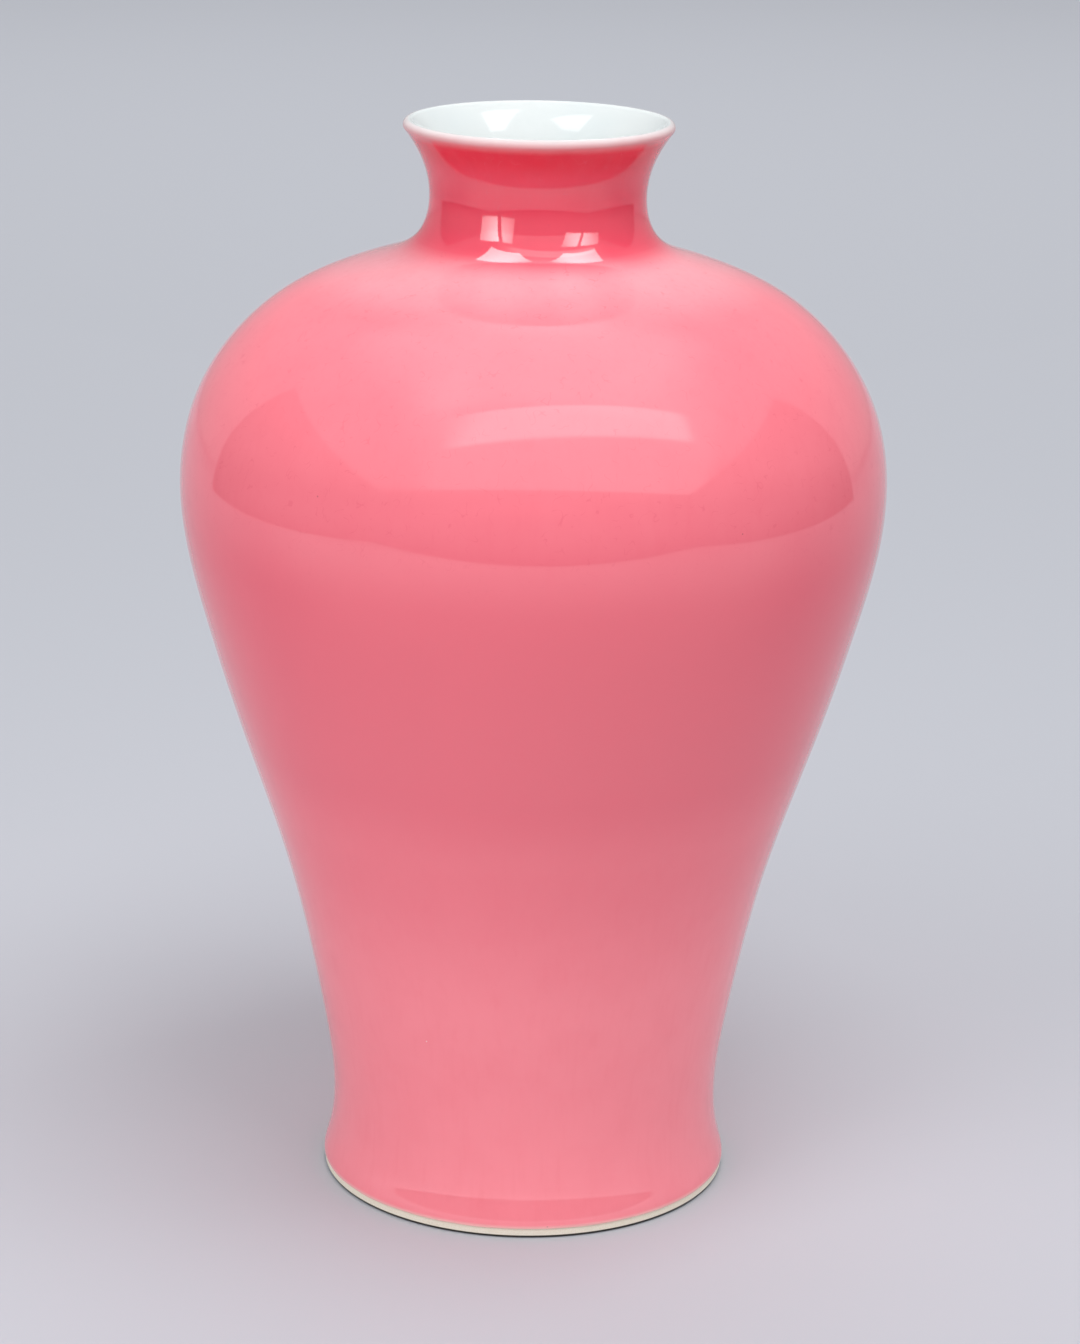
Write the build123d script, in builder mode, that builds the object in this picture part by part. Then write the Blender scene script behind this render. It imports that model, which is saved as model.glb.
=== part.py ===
"""Meiping vase: thrown porcelain sections luted with slip under fired coats of glaze.

Sizes are in mm. The origin is the middle of the foot on the table, and +Z runs up the axis of the vase.
"""
import os
from collections import namedtuple
from math import cos, radians, sin

from build123d import *

# Finished outline from the foot up: each point has a radius, and a rise above the point below it
waist_radius = 58.3
foot_spread = 3.0  # how far the foot stands out beyond the waist
foot_rise = 3.2  # bare porcelain under the pink glaze
heel_spread = 1.9  # how far the heel stands out beyond the waist
heel_rise = 5.3
waist_rise = 17.1
low_flank_radius = 61.5
low_flank_rise = 25.4
mid_flank_radius = 72.4
mid_flank_rise = 48.7
seam_radius = 85.6
seam_rise = 40.3
high_flank_inset = 7.0  # how far the upper flank lies inside the belly
high_flank_rise = 34.9
belly_radius = 103.2
belly_rise = 39.6
shoulder_inset = 4.4  # how far the shoulder lies inside the belly
shoulder_rise = 23.9
crown_radius = 76.2
crown_rise = 28.4
root_radius = 49.1
root_rise = 12.4
collar_radius = 34.6
collar_rise = 7.7
throat_radius = 31.3
throat_rise = 12.8
lip_radius = 38.6
lip_rise = 17.7
lip_lean = 38.5  # degrees that the mouth leans outward from the upright

# Porcelain wall, thicker towards the foot
waist_wall = 6.4
flank_wall = 5.6
seam_wall = 5.2
belly_wall = 4.8
shoulder_wall = 4.4
neck_wall = 3.6
lip_wall = 2.4

# Coats of glaze
outer_coat = 0.4
lining_coat = 0.4
base_coat = 0.4

# Joints: the slip between two pieces, and the groove that locates them
slip = 0.8
groove_width = 2.0
groove_depth = 1.4

# Foot and floor
foot_ring_height = 8.0
foot_edge_round = 1.0
base_ledge = 2.5  # shelf on the foot ring that the floor stands on
base_thickness = 6.5
floor_coil = 5.0  # radius of the clay coil pressed into the inside corner
recess_round = 2.0  # radius of the glaze in the corner of the recess
base_glaze_gap = 3.0  # bare porcelain left above the table inside the foot ring
cut_margin = 10.0  # how far the cutting shapes reach past the vase

upright = Vector(0, 1)
downward = Vector(0, -1)
lip_direction = Vector(sin(radians(lip_lean)), cos(radians(lip_lean)))

# Points of the outline, each with the porcelain wall behind it
Station = namedtuple("Station", "radius rise wall")
stations = {
    "foot": Station(waist_radius + foot_spread, foot_rise, waist_wall),
    "heel": Station(waist_radius + heel_spread, heel_rise, waist_wall),
    "waist": Station(waist_radius, waist_rise, waist_wall),
    "low_flank": Station(low_flank_radius, low_flank_rise, flank_wall),
    "mid_flank": Station(mid_flank_radius, mid_flank_rise, flank_wall),
    "seam": Station(seam_radius, seam_rise, seam_wall),
    "high_flank": Station(belly_radius - high_flank_inset, high_flank_rise, belly_wall),
    "belly": Station(belly_radius, belly_rise, belly_wall),
    "shoulder": Station(belly_radius - shoulder_inset, shoulder_rise, shoulder_wall),
    "crown": Station(crown_radius, crown_rise, shoulder_wall),
    "root": Station(root_radius, root_rise, shoulder_wall),
    "collar": Station(collar_radius, collar_rise, neck_wall),
    "throat": Station(throat_radius, throat_rise, neck_wall),
    "lip": Station(lip_radius, lip_rise, lip_wall),
}
names = list(stations)
inner_names = names[names.index("waist"):]

places = {}
height = 0.0
for name, station in stations.items():
    height += station.rise
    places[name] = Vector(station.radius, height)
glazed = list(places.values())


def flowing_line(points):
    """Smooth line through the points, upright at its lower end and leaning outward at the lip."""
    return Spline(points, tangents=(upright, lip_direction), tangent_scalars=(1, 1))


glazed_curve = flowing_line(glazed)


def inset(name, depth):
    """Point that lies this deep below one point of the finished outline, square to it."""
    along = glazed_curve.tangent_at(places[name])
    return places[name] + Vector(-along.Y, along.X) * depth


# Three more lines follow the outline at their own depths: outside of the porcelain, inside, and lining
outside = [inset(name, outer_coat) for name in names]
inside = [inset(name, outer_coat + stations[name].wall) for name in inner_names]
lined = [inset(name, outer_coat + stations[name].wall + lining_coat) for name in inner_names]

# Below the waist the inside runs straight down to the floor
bore = inside[0].X
lined_bore = lined[0].X
foot_outside = outside[0].X
recess_radius = bore - base_ledge
disc_radius = bore - slip
foot_joint_top = foot_ring_height + slip
floor = foot_joint_top + base_thickness
lined_floor = floor + lining_coat
coil_top = floor + floor_coil
coil_reach = bore - floor_coil
recess_side = recess_radius - base_coat
recess_ceiling = foot_joint_top - base_coat
clear_radius = belly_radius + cut_margin
clear_height = height + cut_margin


def across_wall(middle, along, shift, outer_reach, inner_reach):
    """Line across the wall from outside to inside, with the groove of a joint in its middle."""
    outward = Vector(along.Y, -along.X)
    level = middle + along * shift
    return [
        level + outward * outer_reach,
        level + outward * groove_width / 2,
        level - along * groove_depth,
        level - outward * groove_width / 2,
        level - outward * inner_reach,
    ]


def joint_lines(name):
    """Lower and upper face of the joint at one point of the outline."""
    wall = stations[name].wall
    middle = inset(name, outer_coat + wall / 2)
    along = glazed_curve.tangent_at(places[name])
    return [across_wall(middle, along, shift, wall, wall) for shift in (0, slip)]


seam_low, seam_high = joint_lines("seam")
root_low, root_high = joint_lines("root")
foot_middle = Vector((foot_outside + bore) / 2, foot_ring_height)
foot_reach = clear_radius - foot_middle.X
foot_low = across_wall(foot_middle, upright, 0, foot_reach, foot_middle.X)
foot_high = across_wall(foot_middle, upright, slip, foot_reach, foot_middle.X)

# Half section of the whole porcelain wall, from the table to the lip
with BuildSketch() as wall_section:
    with BuildLine():
        flowing_line(outside)
        TangentArc(outside[-1], inside[-1], tangent=lip_direction)
        flowing_line(inside)
        Polyline(
            inside[0],
            (bore, foot_joint_top),
            (recess_radius, foot_joint_top),
            (recess_radius, foot_edge_round),
        )
        TangentArc(
            (recess_radius, foot_edge_round),
            (recess_radius + foot_edge_round, 0),
            tangent=downward,
        )
        Line((recess_radius + foot_edge_round, 0), (foot_outside - foot_edge_round, 0))
        TangentArc(
            (foot_outside, foot_edge_round),
            (foot_outside - foot_edge_round, 0),
            tangent=downward,
        )
        Line((foot_outside, foot_edge_round), outside[0])
    make_face()

# Foot ring: the bare ring that stands on the table
with BuildPart() as foot_ring:
    with BuildSketch(Plane.XZ):
        add(wall_section)
        with BuildLine():
            Polyline(*foot_low, (0, -cut_margin), (clear_radius, -cut_margin), close=True)
        make_face(mode=Mode.INTERSECT)
    revolve(axis=Axis.Z)

# Slip between the foot ring and what stands on it
with BuildPart() as foot_joint:
    with BuildSketch(Plane.XZ):
        add(wall_section)
        with BuildLine():
            Polyline(*foot_low, *reversed(foot_high), close=True)
        make_face(mode=Mode.INTERSECT)
    revolve(axis=Axis.Z)

# Base disc: the floor of the vase, standing on the shelf of the foot ring
with BuildPart() as base_disc:
    with BuildSketch(Plane.XY.offset(foot_joint_top)):
        Circle(disc_radius)
    extrude(amount=base_thickness)

# Slip round the base disc, with the coil of clay in the inside corner
with BuildPart() as base_joint:
    with BuildSketch(Plane.XZ):
        with BuildLine():
            Polyline(
                (coil_reach, floor),
                (disc_radius, floor),
                (disc_radius, foot_joint_top),
                (bore, foot_joint_top),
                (bore, coil_top),
            )
            TangentArc((bore, coil_top), (coil_reach, floor), tangent=downward)
        make_face()
    revolve(axis=Axis.Z)

# Lower body: the thrown wall from the foot to mid flank
with BuildPart() as lower_body:
    with BuildSketch(Plane.XZ):
        add(wall_section)
        with BuildLine():
            Polyline(
                *foot_high,
                (0, seam_low[-1].Y),
                *reversed(seam_low),
                (clear_radius, seam_low[0].Y),
                close=True,
            )
        make_face(mode=Mode.INTERSECT)
    revolve(axis=Axis.Z)

# Slip in the joint at mid flank
with BuildPart() as body_joint:
    with BuildSketch(Plane.XZ):
        add(wall_section)
        with BuildLine():
            Polyline(*seam_low, *reversed(seam_high), close=True)
        make_face(mode=Mode.INTERSECT)
    revolve(axis=Axis.Z)

# Upper body: the thrown wall from mid flank over the shoulder to the root of the neck
with BuildPart() as upper_body:
    with BuildSketch(Plane.XZ):
        add(wall_section)
        with BuildLine():
            Polyline(
                *seam_high,
                (root_low[-1].X, seam_high[-1].Y),
                *reversed(root_low),
                (clear_radius, root_low[0].Y),
                (clear_radius, seam_high[0].Y),
                close=True,
            )
        make_face(mode=Mode.INTERSECT)
    revolve(axis=Axis.Z)

# Slip in the joint at the root of the neck
with BuildPart() as neck_joint:
    with BuildSketch(Plane.XZ):
        add(wall_section)
        with BuildLine():
            Polyline(*root_low, *reversed(root_high), close=True)
        make_face(mode=Mode.INTERSECT)
    revolve(axis=Axis.Z)

# Neck: the thrown collar with its flared mouth and rounded lip
with BuildPart() as neck:
    with BuildSketch(Plane.XZ):
        add(wall_section)
        with BuildLine():
            Polyline(
                *root_high,
                (0, root_high[-1].Y),
                (0, clear_height),
                (root_high[0].X, clear_height),
                close=True,
            )
        make_face(mode=Mode.INTERSECT)
    revolve(axis=Axis.Z)

# Pink glaze over the outside, with a rounded lower edge above the bare foot
with BuildPart() as outer_glaze:
    with BuildSketch(Plane.XZ):
        with BuildLine():
            flowing_line(glazed)
            Line(glazed[-1], outside[-1])
            flowing_line(outside)
            TangentArc(glazed[0], outside[0], tangent=downward)
        make_face()
    revolve(axis=Axis.Z)

# White glaze over the lip and down the whole inside
with BuildPart() as lining_glaze:
    with BuildSketch(Plane.XZ):
        with BuildLine():
            Line(glazed[-1], outside[-1])
            TangentArc(outside[-1], inside[-1], tangent=lip_direction)
            flowing_line(inside)
            Line(inside[0], (bore, coil_top))
            TangentArc((bore, coil_top), (coil_reach, floor), tangent=downward)
            Polyline((coil_reach, floor), (0, floor), (0, lined_floor), (coil_reach, lined_floor))
            TangentArc((lined_bore, coil_top), (coil_reach, lined_floor), tangent=downward)
            Line((lined_bore, coil_top), lined[0])
            flowing_line(lined)
            TangentArc(glazed[-1], lined[-1], tangent=lip_direction)
        make_face()
    revolve(axis=Axis.Z)

# Glaze in the recess under the foot
with BuildPart() as base_glaze:
    with BuildSketch(Plane.XZ):
        with BuildLine():
            Polyline(
                (recess_side - recess_round, recess_ceiling),
                (0, recess_ceiling),
                (0, foot_joint_top),
                (recess_radius, foot_joint_top),
                (recess_radius, base_glaze_gap),
                (recess_side, base_glaze_gap),
                (recess_side, recess_ceiling - recess_round),
            )
            TangentArc(
                (recess_side, recess_ceiling - recess_round),
                (recess_side - recess_round, recess_ceiling),
                tangent=upright,
            )
        make_face()
    revolve(axis=Axis.Z)

pieces = {
    "foot_ring": foot_ring,
    "foot_joint": foot_joint,
    "base_disc": base_disc,
    "base_joint": base_joint,
    "lower_body": lower_body,
    "body_joint": body_joint,
    "upper_body": upper_body,
    "neck_joint": neck_joint,
    "neck": neck,
    "outer_glaze": outer_glaze,
    "lining_glaze": lining_glaze,
    "base_glaze": base_glaze,
}
os.makedirs("parts", exist_ok=True)
for name, piece in pieces.items():
    piece.part.label = name
    export_step(piece.part, f"parts/{name}.step")
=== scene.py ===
# %% [markdown]
# A meiping is a tall vase with a high round shoulder, a short neck and a mouth just wide enough for one
# branch. This one is thrown porcelain under a glossy coral-pink glaze, with a white lining that turns over
# the lip. The packed solids give every size and place.
# Blender adds what a solid can't hold: the slight waves of a hand-turned surface, the wandering edge of the
# glaze at the foot, the finish of each surface, and the light of a studio table.

# %% Load the frame
import math

import bmesh
import bpy
import numpy as np
from mathutils import Matrix, Vector, noise


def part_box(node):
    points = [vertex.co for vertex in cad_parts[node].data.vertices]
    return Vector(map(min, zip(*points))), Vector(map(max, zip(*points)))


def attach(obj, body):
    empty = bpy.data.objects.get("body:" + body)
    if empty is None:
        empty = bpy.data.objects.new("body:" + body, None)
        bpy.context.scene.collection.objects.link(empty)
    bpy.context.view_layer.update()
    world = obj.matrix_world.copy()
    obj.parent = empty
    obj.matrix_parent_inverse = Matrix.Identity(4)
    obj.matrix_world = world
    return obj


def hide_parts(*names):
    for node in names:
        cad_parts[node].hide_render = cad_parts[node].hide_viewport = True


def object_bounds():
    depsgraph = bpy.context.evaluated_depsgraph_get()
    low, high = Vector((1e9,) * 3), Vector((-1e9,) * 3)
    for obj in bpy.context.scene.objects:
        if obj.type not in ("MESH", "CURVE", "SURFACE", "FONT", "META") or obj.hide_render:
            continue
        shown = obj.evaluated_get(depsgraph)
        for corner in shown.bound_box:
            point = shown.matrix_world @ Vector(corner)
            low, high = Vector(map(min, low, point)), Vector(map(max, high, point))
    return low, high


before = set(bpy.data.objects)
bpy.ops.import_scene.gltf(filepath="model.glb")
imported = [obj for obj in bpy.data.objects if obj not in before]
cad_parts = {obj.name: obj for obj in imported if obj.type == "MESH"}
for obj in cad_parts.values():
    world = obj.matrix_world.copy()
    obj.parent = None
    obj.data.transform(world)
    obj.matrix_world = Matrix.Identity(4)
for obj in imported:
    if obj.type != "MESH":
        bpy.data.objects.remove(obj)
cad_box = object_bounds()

mm = 0.001
vase_height = cad_box[1].z
print("nodes:", ", ".join(sorted(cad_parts)))
print("height of the vase: %.1f mm" % (vase_height / mm))

# %% [markdown]
# Every piece of a thrown vase is turned about one upright axis, so half of its section says all about it.
# The outline could be drawn again here by hand, but then it could drift away from the solid.
# So it is read from the packed mesh: where that mesh meets the XZ plane, its vertices lie on the section,
# and the edges between them give their order.

# %% Read a half section
plane_gap = 1e-7  # metres: a vertex this close to the XZ plane lies on it
decimals = 7  # of a metre: points that agree to this many are one point


def half_section(node):
    """Points (radius, height) round the half section of one turned node, in order from its highest point."""
    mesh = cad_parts[node].data
    spots = {}
    for vertex in mesh.vertices:
        if abs(vertex.co.y) < plane_gap and vertex.co.x > plane_gap:
            spots[vertex.index] = (round(vertex.co.x, decimals), round(vertex.co.z, decimals))
    beside = {}
    for edge in mesh.edges:
        one, other = (spots.get(index) for index in edge.vertices)
        if one and other and one != other:
            beside.setdefault(one, set()).add(other)
            beside.setdefault(other, set()).add(one)
    ends = [spot for spot in beside if len(beside[spot]) == 1]
    chain = [max(ends or beside, key=lambda spot: spot[1])]
    while True:
        onward = [spot for spot in sorted(beside[chain[-1]]) if spot not in chain]
        if not onward:
            break
        chain.append(onward[0])
    if ends:
        return [(0.0, chain[0][1]), *chain, (0.0, chain[-1][1])]
    return [*chain, chain[0]]


for node in ("outer_glaze", "lining_glaze", "foot_ring", "base_glaze"):
    print(node, "has", len(half_section(node)), "points round its section")

# %% [markdown]
# A packed section is a chain of short straight edges, and a glossy glaze would show each of them.
# A subdivision surface could round them, but it would also pull the outline inward.
# A cubic spline goes exactly through the points instead. How strongly it bends at each of them comes from one
# set of equations, which numpy solves at once.

# %% Run a spline through points
fine_edge = 0.8 * mm  # an edge shorter than this is smooth enough as it is


def spline_run(points, step):
    """Points on a cubic spline through one run, each stretch cut into pieces about one step long."""
    points = np.array(points)
    gaps = np.linalg.norm(np.diff(points, axis=0), axis=1)
    count = len(points)
    rows = np.zeros((count, count))
    pulls = np.zeros((count, 2))
    rows[0, 0] = rows[-1, -1] = 1
    if count > 2:
        rows[0, 1] = rows[-1, -2] = -1
    for i in range(1, count - 1):
        rows[i, i - 1:i + 2] = gaps[i - 1], 2 * (gaps[i - 1] + gaps[i]), gaps[i]
        pulls[i] = 6 * ((points[i + 1] - points[i]) / gaps[i] - (points[i] - points[i - 1]) / gaps[i - 1])
    bends = np.linalg.solve(rows, pulls)
    made = []
    for i in range(count - 1):
        cuts = max(1 if gaps[i] < fine_edge else 2, math.ceil(gaps[i] / step))
        for after in np.arange(cuts) / cuts:
            before = 1 - after
            bow = (before ** 3 - before) * bends[i] + (after ** 3 - after) * bends[i + 1]
            made.append(before * points[i] + after * points[i + 1] + bow * gaps[i] ** 2 / 6)
    return made


trial_step = 5 * mm
trial_bend = [(60 * mm, 0.0), (58 * mm, 25 * mm), (62 * mm, 50 * mm)]
print("a bend of 3 points is cut into", len(spline_run(trial_bend, trial_step)), "pieces")

# %% [markdown]
# A section also has real corners, such as the lower edge of the coat, and one spline would round them off.
# So the chain is cut into runs at its corners, and each run is smoothed by itself.
# A flat floor is one very long edge beside the short ones of its rounding. A spline would bow it, so a run
# also ends there and the floor stays flat.

# %% Smooth a section
corner_turn = math.radians(40)  # a sharper turn than this is a real corner
flat_ratio = 25  # an edge this many times longer than the one beside it is a flat


def smooth_section(node, step):
    """The section of a node as points that are smooth between corners, their normals, and if it closes."""
    points = half_section(node)
    closed = points[0] == points[-1]
    steps = np.diff(np.array(points), axis=0)
    headings = np.arctan2(steps[:, 1], steps[:, 0])
    turns = np.abs((np.diff(headings) + math.pi) % (2 * math.pi) - math.pi)
    lengths = np.linalg.norm(steps, axis=1)
    ratios = np.maximum(lengths[1:] / lengths[:-1], lengths[:-1] / lengths[1:])
    corners = [i + 1 for i in range(len(turns)) if turns[i] > corner_turn or ratios[i] > flat_ratio]
    bounds = [0, *corners, len(points) - 1]
    made = []
    for first, last in zip(bounds, bounds[1:]):
        made += spline_run(points[first:last + 1], step)
    if not closed:
        made.append(np.array(points[-1]))
    made = np.array(made)
    area = np.sum(made[:, 0] * np.roll(made[:, 1], -1) - np.roll(made[:, 0], -1) * made[:, 1])
    if area < 0:
        made = made[::-1]
    along = np.roll(made, -1, axis=0) - np.roll(made, 1, axis=0)
    along /= np.linalg.norm(along, axis=1)[:, None]
    return made, np.stack([along[:, 1], -along[:, 0]], axis=1), closed


for node in ("foot_ring", "base_glaze"):
    print(node, "becomes", len(smooth_section(node, trial_step)[0]), "points")

# %% [markdown]
# With a section in hand, turning it is a loop over angles.
# Blender's Screw modifier could do that, but a maker's hand is never quite steady, and these small waves have
# to differ round the vase. So the vertices are placed in code, each lifted a little along the normal of the
# section.

# %% Turn a section into a piece
segments = 224
angles = np.arange(segments) * 2 * math.pi / segments


def ring_faces(rings, count):
    """Quads that join each of so many rings to the next. After the last one of the count comes the first."""
    faces = []
    for i in range(rings):
        this, following = i * segments, (i + 1) % count * segments
        for j in range(segments):
            beyond = (j + 1) % segments
            faces.append((this + j, this + beyond, following + beyond, following + j))
    return faces


def turned(name, node, step, lift=None, drop=None):
    """Closed mesh of a node's section turned about Z. lift moves a point along its normal, and drop down."""
    points, normals, closed = smooth_section(node, step)
    spots = np.zeros((len(points), segments, 3))
    for i, ((radius, height), (out, up)) in enumerate(zip(points, normals)):
        for j, angle in enumerate(angles):
            rise = lift(radius, height, angle, out, up) if lift and radius > 0 else 0.0
            sink = drop(height, angle) if drop else 0.0
            reach = radius + out * rise
            spots[i, j] = reach * math.cos(angle), reach * math.sin(angle), height + up * rise - sink
    rings = len(points) if closed else len(points) - 1
    mesh = bpy.data.meshes.new(name)
    mesh.from_pydata(spots.reshape(-1, 3), [], ring_faces(rings, len(points)))
    work = bmesh.new()
    work.from_mesh(mesh)
    bmesh.ops.remove_doubles(work, verts=work.verts, dist=plane_gap)
    bmesh.ops.recalc_face_normals(work, faces=work.faces)
    work.to_mesh(mesh)
    work.free()
    mesh.shade_smooth()
    mesh.set_sharp_from_angle(angle=corner_turn)
    piece = bpy.data.objects.new(name, mesh)
    bpy.context.collection.objects.link(piece)
    print(name, "has", len(mesh.vertices), "vertices and", len(mesh.polygons), "faces")
    return piece


def stand_for(piece, node):
    """Let a piece take the place of a packed node on the one body of the vase."""
    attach(piece, "root")
    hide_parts(node)


print("a ring has", segments, "points, one every %.2f degrees" % math.degrees(angles[1]))

# %% [markdown]
# The pink glaze is a coat less than half a millimetre thick, from the lip down to just above the table.
# The wall under it was thrown and trimmed by hand, so reflections in it bend a little.
# A bump in the finish could bend them too, but then the mesh itself would be perfect, and no thrown wall
# is. Two soft noises move the mesh instead: a fine one, stretched round the vase as trimming marks are, and
# a broad one. They are largest on the belly, where the wheel ran fastest, and fade out at the lip, where
# the coat meets the lining. The lower edge wanders as a wiped glaze does.

# %% Pink coat
coat_step = 2.2 * mm
wave_height = 0.07 * mm
wave_round = 55 * mm  # length of a wave round the vase
wave_up = 17 * mm  # length of a wave up the wall
swell_height = 0.12 * mm
swell_length = 110 * mm
lip_calm = 8 * mm  # the waves fade out this far below the lip
edge_wander = 0.15 * mm
edge_fade = 6 * mm
edge_ripples = 5.5
edge_layer = 0.5  # layer of the noise that the edge follows
coat_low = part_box("outer_glaze")[0].z
coat_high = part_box("outer_glaze")[1].z
belly_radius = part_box("outer_glaze")[1].x


def hand_waves(radius, height, angle, out, up):
    """Small uneven lift of a hand-turned wall, on its outside alone: the inside lies on the porcelain."""
    if out <= 0:
        return 0.0
    x, y = radius * math.cos(angle), radius * math.sin(angle)
    fine = noise.noise((x / wave_round, y / wave_round, height / wave_up))
    broad = noise.noise((x / swell_length, y / swell_length, height / swell_length))
    calm = min(1.0, max(0.0, (coat_high - height) / lip_calm))
    return (fine * wave_height + broad * swell_height) * calm * radius / belly_radius


def foot_edge(height, angle):
    """How far the lower edge of the glaze hangs below its mean line, fading out upward."""
    near = max(0.0, 1 - (height - coat_low) / edge_fade) ** 2
    ripple = noise.noise((edge_ripples * math.cos(angle), edge_ripples * math.sin(angle), edge_layer))
    return edge_wander * near * ripple


pink_coat = turned("pink_coat", "outer_glaze", coat_step, hand_waves, foot_edge)
stand_for(pink_coat, "outer_glaze")

# %% [markdown]
# The white lining turns over the lip as a smooth bead and runs down the whole inside.
# Throwing rings are left deep inside, because no one can reach in to trim them away. They could be separate
# ridges, but on the wheel one finger draws them as a single spiral, and so does one sine of height and angle.
# They are broader than the waves outside. The mouth above them was wiped smooth.

# %% White lining
lining_step = 2.7 * mm
ring_height = 0.12 * mm
ring_pitch = 12 * mm
wiped_depth = 14 * mm  # no rings down to this far below the lip
ring_depth = 45 * mm  # and from here down they are full


def throwing_rings(radius, height, angle, out, up):
    """Spiral finger marks on the inner side of the lining."""
    depth = vase_height - height
    share = min(1.0, max(0.0, (depth - wiped_depth) / (ring_depth - wiped_depth)))
    turn = 2 * math.pi * height / ring_pitch + angle
    return ring_height * share * math.sin(turn) if out < 0 else 0.0


white_lining = turned("white_lining", "lining_glaze", lining_step, throwing_rings)
stand_for(white_lining, "lining_glaze")

# %% [markdown]
# The foot ring is left bare so that the vase doesn't stick to the kiln shelf.
# A turning tool leaves fine grooves round it. A bump could draw them, but they show at the very edge of the
# foot, so they are cut into the mesh, inward only, and the ring keeps its size.

# %% Bare foot
foot_step = 0.3 * mm
groove_pitch = 0.9 * mm
groove_cut = 0.035 * mm
wear_length = 9 * mm  # the grooves are worn in patches about this long
wear_layer = 3.5  # layer of the noise that the wear follows
wear_mean = 0.6
wear_swing = 0.4


def turning_marks(radius, height, angle, out, up):
    """Fine grooves of the turning tool, deeper in some places than in others."""
    place = radius - height
    x, y = radius * math.cos(angle), radius * math.sin(angle)
    worn = wear_mean + wear_swing * noise.noise((x / wear_length, y / wear_length, wear_layer))
    return -groove_cut * worn * (0.5 + 0.5 * math.sin(2 * math.pi * place / groove_pitch))


bare_foot = turned("bare_foot", "foot_ring", foot_step, turning_marks)
stand_for(bare_foot, "foot_ring")

# %% [markdown]
# Under the foot the recess is glazed white. The packed node could stay, but its straight edges would show in
# the gloss. Little light gets there and no tool marks show through, so its smooth section is turned as it is.

# %% Recess coat
recess_step = 1.5 * mm
recess_coat = turned("recess_coat", "base_glaze", recess_step)
stand_for(recess_coat, "base_glaze")

# %% [markdown]
# A finish is a small network of nodes. Written node by node it is hard to read, so one class wraps a socket:
# adding or multiplying two of them adds the Math node that does it, and `make` adds any other node.

# %% A value on a surface
class Value:
    """One number, colour or vector that varies over a surface: a socket that takes Python's operators."""

    def __init__(self, socket):
        self.socket = socket
        self.tree = socket.id_data

    def make(self, kind, settings, inputs, output=0):
        """Add one node, with its settings first, and then the values or links of its sockets."""
        node = self.tree.nodes.new(kind)
        for key, setting in settings.items():
            if key == "stops":
                set_stops(node.color_ramp, setting)
            else:
                setattr(node, key, setting)
        for key, value in inputs.items():
            if isinstance(value, Value):
                self.tree.links.new(value.socket, node.inputs[key])
            else:
                node.inputs[key].default_value = value
        return Value(node.outputs[output])

    def math(self, operation, first, second):
        """One Math node on two values or numbers."""
        return self.make("ShaderNodeMath", {"operation": operation}, {0: first, 1: second})

    def __add__(self, other):
        return self.math("ADD", self, other)

    def __radd__(self, other):
        return self.math("ADD", other, self)

    def __sub__(self, other):
        return self.math("SUBTRACT", self, other)

    def __rsub__(self, other):
        return self.math("SUBTRACT", other, self)

    def __mul__(self, other):
        return self.math("MULTIPLY", self, other)

    def __rmul__(self, other):
        return self.math("MULTIPLY", other, self)

    def __truediv__(self, other):
        return self.math("DIVIDE", self, other)

    def __rtruediv__(self, other):
        return self.math("DIVIDE", other, self)

    def __abs__(self):
        return self.math("ABSOLUTE", self, 0.0)

    def ramp(self, low, high, start=0.0, end=1.0):
        """Smooth rise from start to end as this value goes from low to high."""
        return self.make(
            "ShaderNodeMapRange",
            {"interpolation_type": "SMOOTHSTEP"},
            {"Value": self, "From Min": low, "From Max": high, "To Min": start, "To Max": end},
        )

    def noise(self, scale, detail=2.0, roughness=0.5):
        """Soft noise from about 0 to 1 at this vector, with about this many waves in a metre."""
        settings = {"Vector": self, "Scale": scale, "Detail": detail, "Roughness": roughness}
        return self.make("ShaderNodeTexNoise", {}, settings)

    def part(self, axis):
        """One part of this vector: 0, 1 or 2 for x, y or z."""
        return self.make("ShaderNodeSeparateXYZ", {}, {0: self}, output=axis)

    def stretched(self, x, y, z):
        """This vector with each axis scaled."""
        return self.make("ShaderNodeVectorMath", {"operation": "MULTIPLY"}, {0: self, 1: (x, y, z)})

    def from_axis(self):
        """How far this place lies from the upright axis."""
        level = self.stretched(1, 1, 0)
        return level.make("ShaderNodeVectorMath", {"operation": "LENGTH"}, {0: level}, output=1)


def set_stops(color_ramp, stops):
    """Give a ramp its stops: pairs of a place from 0 to 1 and a colour."""
    color_ramp.interpolation = "EASE"
    while len(color_ramp.elements) < len(stops):
        color_ramp.elements.new(1.0)
    for element, (place, colour) in zip(color_ramp.elements, stops):
        element.position = place
        element.color = (*colour, 1.0)


print("a value knows:", ", ".join(word for word in vars(Value) if not word.startswith("_")))

# %% [markdown]
# Every finish starts with the same steps: a new material, its shader, and the place on the object that its
# patterns follow. A few short functions take these up, so that each finish below says only what is its own.
# A number that is the same all over is set on the shader's own socket, and only what varies is linked.

# %% Helpers for a finish
def mixed(first, second, share):
    """Two colours mixed: the share is how much of the second shows."""
    pair = [value if isinstance(value, Value) else (*value, 1.0) for value in (first, second)]
    return share.make("ShaderNodeMix", {"data_type": "RGBA"}, {0: share, 6: pair[0], 7: pair[1]}, output=2)


def finish(name, **constants):
    """A new material: its surface shader, and the place on the object that its patterns follow."""
    material = bpy.data.materials.new(name)
    material.use_nodes = True
    shader = material.node_tree.nodes["Principled BSDF"]
    for socket, value in constants.items():
        shader.inputs[socket.replace("_", " ")].default_value = value
    coordinates = material.node_tree.nodes.new("ShaderNodeTexCoord")
    return material, shader, Value(coordinates.outputs["Object"])


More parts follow.
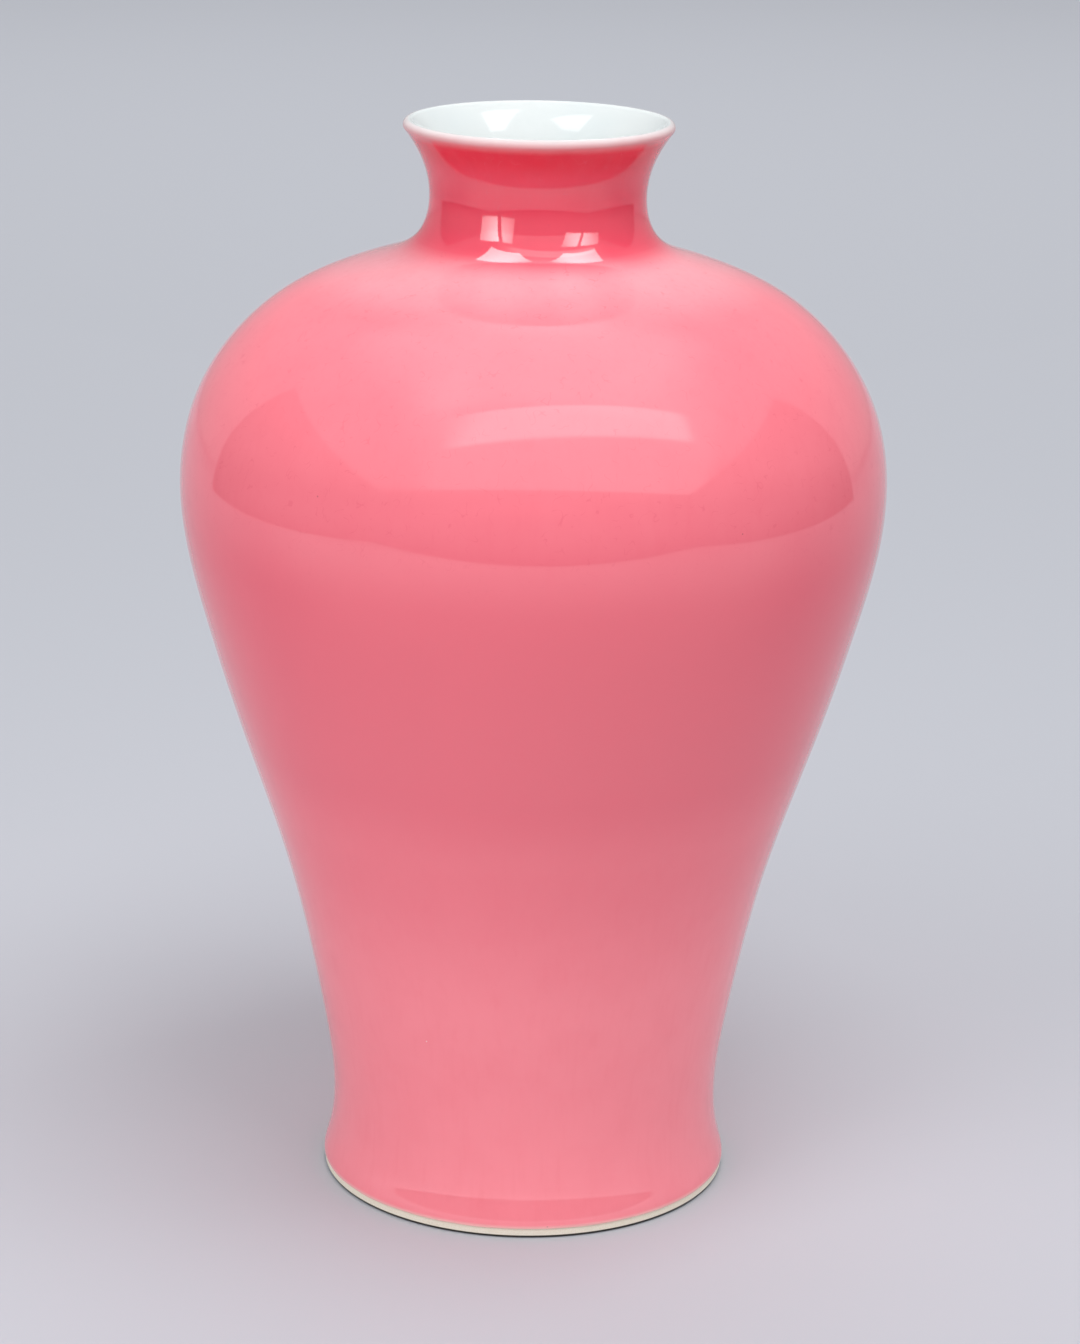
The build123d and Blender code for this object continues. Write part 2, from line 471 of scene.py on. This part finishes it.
def feed(shader, socket, value):
    """Link a value to one socket of a shader."""
    value.tree.links.new(value.socket, shader.inputs[socket])


def bumped(shader, height, distance):
    """Let a height shape the surface's normal, with this much relief in metres."""
    feed(shader, "Normal", height.make("ShaderNodeBump", {}, {"Distance": distance, "Height": height}))


def dress(material, *pieces):
    """Give pieces a finish in place of any that they have."""
    for piece in pieces:
        piece.data.materials.clear()
        piece.data.materials.append(material)
    names = ", ".join(piece.name for piece in pieces)
    print(material.name, "has", len(material.node_tree.nodes), "nodes and is on", names)


print("helpers:", ", ".join(helper.__name__ for helper in (mixed, finish, feed, bumped, dress)))

# %% [markdown]
# The coral glaze is a pink enamel over white porcelain. It isn't one flat colour: it lies thinner and paler
# over the shoulder, thicker and deeper in the hollow of the neck, and at the lip it feathers out to white.
# The colours by height also hold painted light and shade. The mid-body is painted darker and the foot
# lighter, the light and dark bands at the root of the neck and in the neck are painted shading, and the
# deepest red just under the lip is painted shade of the flared lip.
# Colours could be painted on the mesh, but they would be only as fine as its vertices.
# So height on the vase drives the change, and two noises break it up: a soft mottle and faint upright
# streaks.

# %% Coral glaze
white_colour = (0.72, 0.755, 0.75)
deep_colour = (0.69, 0.009, 0.036)
mottle_colour = (0.80, 0.12, 0.17)
# These stops are the glaze's tone with painted shade and light in them: darker mid-body, lighter foot, neck
# bands.
coral_and_shade_stops = [
    (0.00, (0.94, 0.250, 0.300)),
    (0.20, (0.91, 0.230, 0.280)),
    (0.37, (0.83, 0.166, 0.216)),
    (0.45, (0.775, 0.130, 0.180)),
    (0.62, (0.775, 0.114, 0.164)),
    (0.71, (0.86, 0.190, 0.240)),
    (0.745, (0.90, 0.208, 0.258)),
    (0.845, (0.91, 0.208, 0.258)),
    (0.878, (0.91, 0.345, 0.395)),
    (0.897, (0.84, 0.080, 0.130)),
    (0.922, (0.84, 0.098, 0.145)),
    (0.942, (0.78, 0.062, 0.108)),
    (0.955, (0.77, 0.070, 0.115)),
    (0.982, deep_colour),
]
feather_low = vase_height - 4.6 * mm
feather_high = vase_height + 1.7 * mm
feather_wander = 0.5 * mm
feather_waves = 160.0
mottle_waves = 70.0
mottle_share = 0.10
streak_waves = 420.0
streak_squeeze = 0.12  # upward, so that the noise draws streaks
streak_share = 0.07


def lip_white(place, height):
    """How far the pink has run thin at a height on the lip: 0 is all pink, 1 is bare white."""
    return (height + place.noise(feather_waves) * feather_wander).ramp(feather_low, feather_high)


coral, shader, place = finish("coral_glaze", IOR=1.65)
height = place.part(2)
thickness_and_shade = place.make("ShaderNodeValToRGB", {"stops": coral_and_shade_stops}, {0: height / vase_height})
mottle = place.noise(mottle_waves, 3.0).ramp(0.35, 0.75)
streaks = place.stretched(1.0, 1.0, streak_squeeze).noise(streak_waves, 2.0).ramp(0.45, 0.8)
body = mixed(thickness_and_shade, mottle_colour, mottle_share * mottle + streak_share * streaks)
print("the coral runs through", len(coral_and_shade_stops), "colours from the foot to the lip")

# %% [markdown]
# Looked at closely, the enamel holds short hairlines where it pulled apart a little while it dried, and a few
# dark specks and pale pinholes. Drawing each by hand would be slow, and a picture of them would blur.
# A contour of a soft noise is a thin wandering line, and a second noise breaks it into short hairs.
# The specks come from Voronoi cells: the glaze cuts only a few cells close enough to their middle to show a
# dot. At the lower edge the glaze runs thin, and the porcelain warms it.

# %% Hairlines, specks and pinholes
hair_colour = (0.72, 0.10, 0.15)
hair_share = 0.24
hair_waves = 230.0
hair_breaks = 420.0
hair_low = 170 * mm  # no hairlines below this height
hair_high = 230 * mm  # and from here up they are full
speck_colour = (0.45, 0.10, 0.11)
speck_cell = 20 * mm
speck_radius = 0.30 * mm
pinhole_colour = (0.88, 0.66, 0.66)
pinhole_cell = 17 * mm
pinhole_radius = 0.25 * mm
thin_colour = (0.84, 0.62, 0.56)
thin_edge = 1.4 * mm


def dots(place, cell, radius):
    """1 in the middle of each Voronoi cell that the surface cuts, and 0 beyond this radius."""
    inputs = {"Vector": place, "Scale": 1 / cell, "Randomness": 1.0}
    distance = place.make("ShaderNodeTexVoronoi", {}, inputs) * cell
    return distance.ramp(radius, 0.6 * radius)


lines = abs(place.noise(hair_waves, 1.0) - 0.5).ramp(0.012, 0.004)
hairs = lines * place.noise(hair_breaks, 0.0).ramp(0.50, 0.62)
upside_down = place.stretched(1.0, 1.0, -1.0)
pinholes = dots(upside_down, pinhole_cell, pinhole_radius)
body = mixed(body, hair_colour, hair_share * hairs * height.ramp(hair_low, hair_high))
body = mixed(body, speck_colour, 0.7 * dots(place, speck_cell, speck_radius))
body = mixed(body, pinhole_colour, 0.8 * pinholes)
body = mixed(body, thin_colour, 0.6 * height.ramp(coat_low + thin_edge, coat_low))
feed(shader, "Base Color", mixed(body, white_colour, lip_white(place, height)))
print("a speck is up to %.1f mm across, in cells of %.0f mm" % (2 * speck_radius / mm, speck_cell / mm))

# %% [markdown]
# What makes it glass is the gloss. One roughness all over would look moulded, so it wanders a little, and a
# bump of a few thousandths of a millimetre gives the faint ripple of glaze that has run and set.

# %% Gloss of a fired glaze
gloss_waves = 35.0
gloss_low = 0.035  # roughness where the glaze is at its glossiest
gloss_high = 0.06
ripple_relief = 2.0e-6


def fired_gloss(shader, place, ripple_waves):
    """Wandering roughness, and the fine ripple of glaze that has run."""
    feed(shader, "Roughness", place.noise(gloss_waves).ramp(0.3, 0.7, gloss_low, gloss_high))
    bumped(shader, place.noise(ripple_waves, 1.0), ripple_relief)


fired_gloss(shader, place, 700.0)
dress(coral, pink_coat)

# %% [markdown]
# The white glaze is the same kind of glass without the pink, a little cool where it lies thick.
# The pink runs a little way up the outside of the lip, so the same feather tints the bead there. A second
# material on those faces could do it, but its edge would follow the mesh. So a mask does: only points near
# the top that lie further out than the crest of the lip take the tint, and the whole inside stays white.

# %% White glaze
cool_colour = (0.69, 0.74, 0.74)
cool_waves = 45.0
tint_low = vase_height - 12 * mm
tint_high = vase_height - 8 * mm
crest_radius = max(half_section("lining_glaze"), key=lambda spot: spot[1])[0]

white, shader, place = finish("white_glaze", IOR=1.5)
height = place.part(2)
body = mixed(white_colour, cool_colour, place.noise(cool_waves).ramp(0.4, 0.8))
past_crest = place.from_axis().ramp(crest_radius - 0.2 * mm, crest_radius + 0.4 * mm)
near_lip = height.ramp(tint_low, tint_high)
feed(shader, "Base Color", mixed(body, deep_colour, past_crest * near_lip * (1 - lip_white(place, height))))
fired_gloss(shader, place, 600.0)
dress(white, white_lining, recess_coat)

# %% [markdown]
# Bare porcelain is matt and cream-coloured, and where glaze ends the kiln leaves a warm line.
# Its grains are far too fine to model, so a small noise gives them colour, roughness and relief at once.
# A thin dark line where the rounded outer edge of the foot meets the table is partly grime and partly
# painted contact shadow.

# %% Bare porcelain
cream_colour = (0.88, 0.84, 0.72)
grain_colour = (0.80, 0.72, 0.58)
flash_colour = (0.80, 0.66, 0.52)
grime_and_shadow_colour = (0.03, 0.024, 0.02)
grain_waves = 2600.0
grain_relief = 1.5e-5
foot_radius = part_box("foot_ring")[1].x

biscuit, shader, place = finish("biscuit", IOR=1.45)
height = place.part(2)
grain = place.noise(grain_waves, 2.0).ramp(0.4, 0.7)
body = mixed(cream_colour, grain_colour, 0.6 * grain)
flash = height.ramp(coat_low - 0.9 * mm, coat_low + 0.3 * mm)
body = mixed(body, flash_colour, 0.5 * flash)
# Painted contact shadow with some grime: a near-black line low on the foot's rounded outer edge.
rounding = place.from_axis().ramp(foot_radius - 1.2 * mm, foot_radius - 0.7 * mm)
grime_and_shadow = rounding * height.ramp(1.0 * mm, 0.75 * mm)
feed(shader, "Base Color", mixed(body, grime_and_shadow_colour, grime_and_shadow))
feed(shader, "Roughness", grain.ramp(0.0, 1.0, 0.62, 0.8))
bumped(shader, grain, grain_relief)
porcelain_nodes = ("base_disc", "lower_body", "upper_body", "neck")
dress(biscuit, bare_foot, *(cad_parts[name] for name in porcelain_nodes))

# %% [markdown]
# Slip is the same clay as a thick cream, which joins the thrown sections. It dries a little greyer.
# It lies inside the wall, where no light falls, so one plain colour could do. But whoever hides the coats on
# screen sees it, so it gets its grain too.

# %% Slip
slip_colour = (0.78, 0.74, 0.68)
slip_shade = (0.70, 0.65, 0.58)
slip_waves = 1500.0

slip, shader, place = finish("slip", IOR=1.45)
grain = place.noise(slip_waves, 2.0).ramp(0.4, 0.7)
feed(shader, "Base Color", mixed(slip_colour, slip_shade, grain))
feed(shader, "Roughness", grain.ramp(0.0, 1.0, 0.7, 0.85))
slip_nodes = ("foot_joint", "base_joint", "body_joint", "neck_joint")
dress(slip, *(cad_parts[name] for name in slip_nodes))

# %% [markdown]
# A camera can be set by eye, but two ovals, those of the lip and the foot, leave it little choice.
# It stands a little over a metre away and looks down on the vase. A long lens keeps the sides nearly upright,
# and a slight roll matches the lean of the picture.

# %% Camera
camera_place = Vector((0.0028, -1.0969, 0.4866))
camera_pitch = math.radians(16.795)
camera_roll = math.radians(0.95)
sensor_width = 36.0  # mm, as Blender wants it
lens = 103.2

data = bpy.data.cameras.new("camera")
data.sensor_width = sensor_width
data.lens = lens
camera = bpy.data.objects.new("camera", data)
bpy.context.collection.objects.link(camera)
tilt = Matrix.Rotation(math.pi / 2 - camera_pitch, 4, "X") @ Matrix.Rotation(camera_roll, 4, "Z")
camera.matrix_world = Matrix.Translation(camera_place) @ tilt
bpy.context.scene.camera = camera
bpy.context.scene.view_settings.view_transform = "Standard"
print("the camera stands %.2f m from the axis with a %.0f mm lens" % (-camera_place.y, lens))

# %% [markdown]
# The vase stands on a wide pale table, which gives it light from below, but would come out nearly white in
# the picture. Less light would darken the vase too. So the camera is shown the table grey, and so are
# reflections of the part behind the vase, because those make its rim.

# %% Table
table_reach = 4.0
table_roughness = 0.7
pale_table = (0.85, 0.85, 0.86)
grey_table = (0.53, 0.545, 0.59)
pale_from = -0.30  # nearer the front than this, reflections show the table pale
grey_from = 0.05  # and beyond this they show it grey


def plain_mesh(name, corners, faces, colour, roughness):
    """A plain stage piece with one matt finish, its shader, and the place that a pattern would follow."""
    mesh = bpy.data.meshes.new(name)
    mesh.from_pydata(corners, [], faces)
    material, shader, place = finish(name, Base_Color=(*colour, 1.0), Roughness=roughness)
    mesh.materials.append(material)
    piece = bpy.data.objects.new(name, mesh)
    bpy.context.collection.objects.link(piece)
    print("stage piece", name, "has", len(corners), "corners")
    return piece, shader, place


table_corners = [(x * table_reach, y * table_reach, 0) for x, y in ((-1, -1), (1, -1), (1, 1), (-1, 1))]
table, shader, place = plain_mesh("table", table_corners, [(0, 1, 2, 3)], pale_table, table_roughness)
light_path = place.tree.nodes.new("ShaderNodeLightPath")
seen, glossy = (Value(light_path.outputs[ray]) for ray in ("Is Camera Ray", "Is Glossy Ray"))
behind = place.part(1).ramp(pale_from, grey_from)
feed(shader, "Base Color", mixed(pale_table, grey_table, seen + glossy * behind))

# %% [markdown]
# Round the front of the table the room is dark, and glossy glaze shows that clearly: the dark shape on the
# shoulder is the room, and its lower edge is the table's. A dark world would do for the room, but would leave
# the vase too little light. So three dark screens stand where the room begins. Only reflections see them.

# %% Dark screens
screen_colour = (0.02, 0.02, 0.022)
screen_roughness = 0.9
front_y = -1.09
left_x = -1.31
right_x = 1.33
screen_high = 1.15
screen_front_high = 0.68
screen_back = 0.80
screen_back_high = 0.45

screen_corners = [
    (left_x, screen_back, 0),
    (left_x, front_y, 0),
    (right_x, front_y, 0),
    (right_x, screen_back, 0),
    (left_x, screen_back_high, screen_high),
    (left_x, front_y, screen_front_high),
    (right_x, front_y, screen_front_high),
    (right_x, screen_back_high, screen_high),
]
screen_faces = [(0, 1, 5, 4), (1, 2, 6, 5), (2, 3, 7, 6)]
screens = plain_mesh("screens", screen_corners, screen_faces, screen_colour, screen_roughness)[0]
screens.visible_camera = False
screens.visible_diffuse = False
screens.visible_shadow = False

# %% [markdown]
# Three soft boxes light the vase: the strongest from high on the right, a low one from the left, and one in
# front. A fourth lamp keeps the far end of the table as bright as the near end.
# All of them would show in the glaze as hard white squares, so reflections skip them.
# The world adds a soft even light from the rest of the room.

# %% Lamps
shoulder_middle = Vector((0.0, 0.0, 0.25))
box_distance = 1.30
box_width = 0.95
far_lamp_place = Vector((0.0, 2.2, 1.8))
room_colour = (0.40, 0.405, 0.42, 1.0)


def area_lamp(name, place, turn, width, tall, radiance, hidden_from):
    """Rectangular lamp of this brightness. The camera never sees it, nor do the named kinds of ray."""
    data = bpy.data.lights.new(name, "AREA")
    data.shape = "RECTANGLE"
    data.size = width
    data.size_y = tall
    data.energy = radiance * math.pi * width * tall
    lamp = bpy.data.objects.new(name, data)
    lamp.matrix_world = Matrix.Translation(place) @ turn.to_4x4()
    for kind in ("camera", hidden_from):
        setattr(lamp, "visible_" + kind, False)
    bpy.context.collection.objects.link(lamp)
    print(name, "is %.0f mm wide and %.0f mm tall" % (width / mm, tall / mm))
    return lamp


def outward(turn, lean):
    """Direction this far round from the front, towards the right, and this far up."""
    return Vector((math.sin(turn) * math.cos(lean), -math.cos(turn) * math.cos(lean), math.sin(lean)))


def soft_box(name, azimuth, elevation, tall, radiance):
    """Lamp aimed at the shoulder. Azimuth 0 is towards the camera, and 90 is to the right."""
    toward = outward(math.radians(azimuth), math.radians(elevation))
    turn = toward.to_track_quat("Z", "Y").to_matrix()
    area_lamp(name, shoulder_middle + toward * box_distance, turn, box_width, tall, radiance, "glossy")


soft_box("soft_box_left", azimuth=-50, elevation=32, tall=0.80, radiance=1.85)
soft_box("soft_box_right", azimuth=40, elevation=67, tall=0.80, radiance=5.0)
soft_box("soft_box_front", azimuth=-15, elevation=48, tall=0.50, radiance=2.0)
facing_down = Matrix.Identity(3)
area_lamp("far_lamp", far_lamp_place, facing_down, width=4.0, tall=2.4, radiance=1.2, hidden_from="glossy")

world = bpy.data.worlds.new("studio")
world.use_nodes = True
world.node_tree.nodes["Background"].inputs["Color"].default_value = room_colour
bpy.context.scene.world = world

# %% [markdown]
# Glossy glaze is a curved mirror, and in it show a long ceiling light, two windows and two bright panels.
# Lamps could be pushed about by eye until they show in the right places. But where a light has to stand
# follows from where it shows: a line of sight goes from the camera to a mark on the glaze, is mirrored there
# about its normal, and meets the plane of the lamp.

# %% Mirror the view in the glaze
mirror_step = 0.5 * mm


def mirror_side(piece, node, side, reach=math.inf):
    """One side of a turned piece, within this reach of the axis, as a mirror.

    Side 1 faces away from the axis, and side -1 faces it.
    """
    points, normals, _ = smooth_section(node, mirror_step)
    order = [i for i in np.argsort(points[:, 1]) if normals[i, 0] * side > 0 and points[i, 0] < reach]
    return piece, points[order], normals[order]


def mirrored(mirror, mark, away, gap):
    """Where the view mirrored at a mark on the glaze meets the plane that lies this far out along away.

    A mark is an angle in degrees, from the front of the vase towards the right, and a height in mm.
    """
    _, points, normals = mirror
    angle, height = math.radians(mark[0]), mark[1] * mm
    level = Vector((math.sin(angle), -math.cos(angle), 0))
    rows = (points[:, 0], normals[:, 0], normals[:, 1])
    radius, out, up = (np.interp(height, points[:, 1], row) for row in rows)
    spot = level * radius + Vector((0, 0, height))
    normal = (level * out + Vector((0, 0, up))).normalized()
    onward = (spot - camera_place).normalized().reflect(normal)
    return spot + onward * ((gap - spot.dot(away)) / onward.dot(away))


outer_mirror = mirror_side(pink_coat, "outer_glaze", 1)
print("the outside mirrors at", len(outer_mirror[1]), "points of its section")

# %% [markdown]
# Four marks on the glaze give the four corners of a lamp, but a lamp is only ever a rectangle.
# A glowing mesh could have any outline, but it would stand in the scene as one more thing.
# So a lamp covers its corners, and its own nodes cut it to them, with edges as soft as they need to be.
# Light linking keeps each of these lamps to the one piece that has to show it.
# The shoulder also mirrors the neck, and in it the lamps a second time. They stand nearer than real lights
# would, so that second picture is too large, and they keep only a share of their light for it.

# %% Cut a lamp to what the glaze shows
one_mirror = 2  # ray depth at a lamp that one place on the glaze has mirrored
two_mirrors = 3
second_share = 0.3
core_dim = 0.3  # share of its brightness that a lamp with a core keeps at its furthest corner
near_level = 0.9  # a plane whose direction rises more than this lies level


def plane_axes(away):
    """Two directions, across and upward, in the plane that faces along away."""
    across = Vector((1, 0, 0)) if away.z > near_level else Vector((0, 0, 1)).cross(away).normalized()
    return across, away.cross(across)


def flat_places(mirror, marks, away, gap):
    """Where the glaze shows these marks in the plane of a lamp, measured across and up that plane."""
    spots = [mirrored(mirror, mark, away, gap) for mark in marks]
    return np.array([[spot.dot(axis) for axis in plane_axes(away)] for spot in spots])


def cut_to_corners(beside, above, flat, fades):
    """1 within four corners and 0 outside. Each edge, from the first corner on, softens over its own fade."""
    ahead = np.roll(flat, -1, axis=0)
    hand = math.copysign(1, np.sum(flat[:, 0] * ahead[:, 1] - ahead[:, 0] * flat[:, 1]))
    shape = 1.0
    for first, second, fade in zip(flat, ahead, fades):
        run = (second - first) / np.linalg.norm(second - first)
        inside = (above - first[1]) * (hand * run[0]) - (beside - first[0]) * (hand * run[1])
        shape = inside.ramp(0.0, fade) * shape
    return shape


def dimmed_from(core, beside, above, flat):
    """1 at the core of a lamp, and less with distance from it."""
    aside, over = beside - core[0], above - core[1]
    distance = beside.math("POWER", aside * aside + over * over, 0.5)
    furthest = np.linalg.norm(flat - core, axis=1).max()
    return distance.ramp(0.0, furthest, 1.0, core_dim)


def glaze_lamp(name, mirror, corners, away, gap, radiance, fades, core=None):
    """Lamp that one glaze mirrors as a patch between four marks, brightest at its core if it has one."""
    across, upward = plane_axes(away)
    flat = flat_places(mirror, corners, away, gap)
    low, size = flat.min(axis=0), np.ptp(flat, axis=0)
    middle = low + size / 2
    place = across * middle[0] + upward * middle[1] + away * gap
    turn = Matrix((across, upward, away)).transposed()
    lamp = area_lamp(name, place, turn, size[0], size[1], radiance, "diffuse")
    lamp.light_linking.receiver_collection = bpy.data.collections.new(name)
    lamp.light_linking.receiver_collection.objects.link(mirror[0])
    lamp.data.use_nodes = True
    nodes = lamp.data.node_tree.nodes
    spread = Value(nodes.new("ShaderNodeNewGeometry").outputs["Parametric"])
    beside, above = (spread.part(i) * size[i] + low[i] for i in (0, 1))
    shape = cut_to_corners(beside, above, flat, fades)
    if core:
        shape = dimmed_from(flat_places(mirror, [core], away, gap)[0], beside, above, flat) * shape
    passed = Value(nodes.new("ShaderNodeLightPath").outputs["Ray Depth"])
    shape = passed.ramp(one_mirror, two_mirrors, 1.0, second_share) * shape
    feed(nodes["Emission"], "Color", shape)


overhead = Vector((0, 0, 1))
print("a lamp overhead runs along", *(tuple(axis) for axis in plane_axes(overhead)))

# %% [markdown]
# The ceiling light draws the pale band on the shoulder. Its long edges are crisp and its ends fade out.
# The ceiling round it is lit too: a faint lamp above it lightens the shoulder round the band, down to where
# the dark room begins, and a wider soft pool of light lies behind the band.
# One lamp with a painted pattern could hold all three, but each has edges of its own, so each is a lamp.

# %% Ceiling lights
band_high = 1.35
glow_high = band_high + 0.1
pool_high = band_high + 0.2
band = [(-16.5, 252.3), (28.2, 253.1), (28.1, 245.4), (-16.5, 243.6)]
glow = [(-24.0, 275.0), (28.0, 275.0), (27.0, 231.0), (-17.0, 231.0)]
pool = [(-48.5, 265.9), (48.3, 266.0), (23.3, 249.8), (-21.8, 249.0)]
band_fades = (0.04, 0.15, 0.10, 0.35)
glow_fades = (0.45, 0.50, 0.05, 0.50)
pool_fades = (0.50, 0.60, 0.35, 0.60)
glaze_lamp("band_of_light", outer_mirror, band, overhead, band_high, radiance=1.7, fades=band_fades)
glaze_lamp("ceiling_glow", outer_mirror, glow, overhead, glow_high, radiance=0.45, fades=glow_fades)
glaze_lamp("ceiling_pool", outer_mirror, pool, overhead, pool_high, radiance=0.58, fades=pool_fades)

# %% [markdown]
# The windows and panels show in the neck alone. Far-off lamps would show in the shoulder too. A lamp shines
# from its front only, so these stand close to the neck, where the shoulder sees just their dark backs.
# The planes of the panels lean over the neck, because the root of the neck mirrors what is nearly overhead.
# Each has its own brightness, and it is brightest at one core, as daylight through a pane is.

# %% Windows and panels
neck_turn = math.radians(50)  # how far round from the front the planes stand
panel_lean = math.radians(10)
window_gap = 56 * mm
panel_gap = 95 * mm
sharp = (0.4 * mm,) * 4
windows = {
    "left_window_outer_pane": (9.5, [(-29.5, 297.1), (-20.7, 297.3), (-18.8, 290.3), (-29.4, 290.2)]),
    "left_window_inner_pane": (5.6, [(-19.1, 297.3), (-11.5, 297.0), (-12.1, 289.9), (-17.0, 290.2)]),
    "right_window_inner_pane": (6.5, [(14.6, 293.3), (22.8, 293.0), (19.5, 289.3), (11.3, 289.4)]),
    "right_window_outer_pane": (7.0, [(24.0, 293.0), (32.6, 292.8), (31.3, 289.7), (20.5, 289.4)]),
}
window_cores = ((-18.5, 291.0), (20.5, 290.3))
panels = {
    "left_panel": (8.0, [(-22.6, 289.0), (-7.9, 287.7), (-1.5, 285.7), (-28.6, 285.3)]),
    "right_panel": (8.0, [(12.4, 287.8), (28.8, 288.8), (31.5, 285.4), (5.2, 285.7)]),
}
panel_cores = ((-14.0, 286.3), (16.5, 286.4))


def neck_lamps(patches, cores, lean, gap):
    """Lamps that the neck shows: each patch has its brightness and its corners, and each side its core."""
    for name, (radiance, corners) in patches.items():
        turn = math.copysign(neck_turn, corners[0][0])
        core = cores[0] if turn < 0 else cores[1]
        glaze_lamp(name, outer_mirror, corners, outward(turn, lean), gap, radiance, sharp, core)


neck_lamps(windows, window_cores, 0.0, window_gap)
neck_lamps(panels, panel_cores, panel_lean, panel_gap)

# %% [markdown]
# The same two panels show inside the mouth, on the far side of the white lining. The lamps at the neck can't
# serve there, because the lining mirrors another direction. So two small lamps hang just above the mouth.

# %% Panels in the mouth
inner_mirror = mirror_side(white_lining, "lining_glaze", -1, crest_radius)
mouth_gap = vase_height + 40 * mm
mouth_radiance = 3.5
mouth_soft = (1.2 * mm,) * 4
mouth_panels = {
    "left_mouth_panel": [(-149.2, 317.5), (-172.3, 317.9), (-162.0, 312.1), (-152.4, 311.8)],
    "right_mouth_panel": [(175.3, 315.1), (151.2, 317.2), (158.3, 312.0), (168.2, 312.4)],
}
for name, corners in mouth_panels.items():
    glaze_lamp(name, inner_mirror, corners, overhead, mouth_gap, mouth_radiance, mouth_soft)

# %% [markdown]
